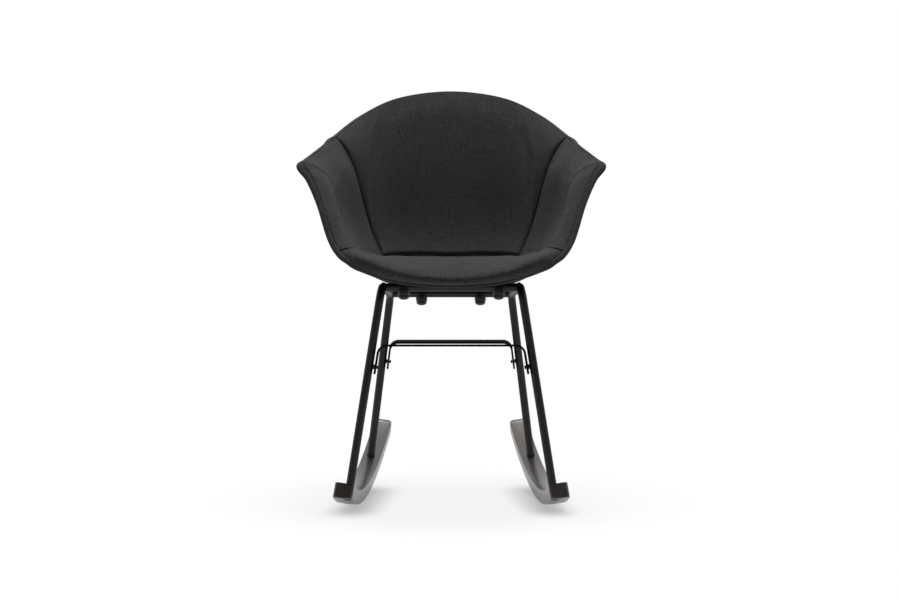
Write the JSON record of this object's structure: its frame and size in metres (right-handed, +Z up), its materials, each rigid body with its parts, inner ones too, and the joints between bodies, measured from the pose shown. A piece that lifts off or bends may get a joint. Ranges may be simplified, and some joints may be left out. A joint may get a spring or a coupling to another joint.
{
  "type": "upholstered rocking chair",
  "caption": "Rocking armchair: a fabric-covered bucket seat on a black bent-tube frame with flat strap braces, standing on dark curved wooden rockers.",
  "frame": {"origin": "on the floor, under the middle of the chair's bounding box", "axes": "+Z up, -Y to the front of the chair, +X to the right of someone who faces the chair"},
  "size_m": [0.6028, 0.6524, 0.8285],
  "materials": {
    "upholstery_fabric": "charcoal melange plain weave",
    "shell_plastic": "black moulded shell",
    "frame_black": "black satin powder coat",
    "rocker_wood": "dark grey-brown stain, open grain",
    "fixing_black": "black nylon",
    "fastener_steel": "zinc plated",
    "insert_brass": "turned"
  },
  "bodies": {
    "root": {"seat_shell": "shell_plastic", "outer_cover": "upholstery_fabric", "back_pad": "upholstery_fabric", "left_arm_pad": "upholstery_fabric", "right_arm_pad": "upholstery_fabric", "seat_pad": "upholstery_fabric", "edge_binding": "upholstery_fabric", "left_side_frame": "frame_black", "right_side_frame": "frame_black", "front_rail": "frame_black", "rear_rail": "frame_black", "front_strap": "frame_black", "rear_strap": "frame_black", "left_rocker": "rocker_wood", "right_rocker": "rocker_wood", "front_left_insert": "insert_brass", "front_right_insert": "insert_brass", "rear_left_insert": "insert_brass", "rear_right_insert": "insert_brass", "front_left_saddle": "fixing_black", "front_right_saddle": "fixing_black", "rear_left_saddle": "fixing_black", "rear_right_saddle": "fixing_black", "front_left_cap": "fixing_black", "front_right_cap": "fixing_black", "rear_left_cap": "fixing_black", "rear_right_cap": "fixing_black", "front_left_leg_plug": "fixing_black", "front_right_leg_plug": "fixing_black", "rear_left_leg_plug": "fixing_black", "rear_right_leg_plug": "fixing_black", "front_left_seat_bolt": "fastener_steel", "front_right_seat_bolt": "fastener_steel", "rear_left_seat_bolt": "fastener_steel", "rear_right_seat_bolt": "fastener_steel", "front_left_rocker_bolt": "fastener_steel", "front_right_rocker_bolt": "fastener_steel", "rear_left_rocker_bolt": "fastener_steel", "rear_right_rocker_bolt": "fastener_steel", "front_left_rivet_nut": "fastener_steel", "front_right_rivet_nut": "fastener_steel", "rear_left_rivet_nut": "fastener_steel", "rear_right_rivet_nut": "fastener_steel", "front_left_strap_screw": "fastener_steel", "front_right_strap_screw": "fastener_steel", "rear_left_strap_screw": "fastener_steel", "rear_right_strap_screw": "fastener_steel"}
  },
  "joints": []
}
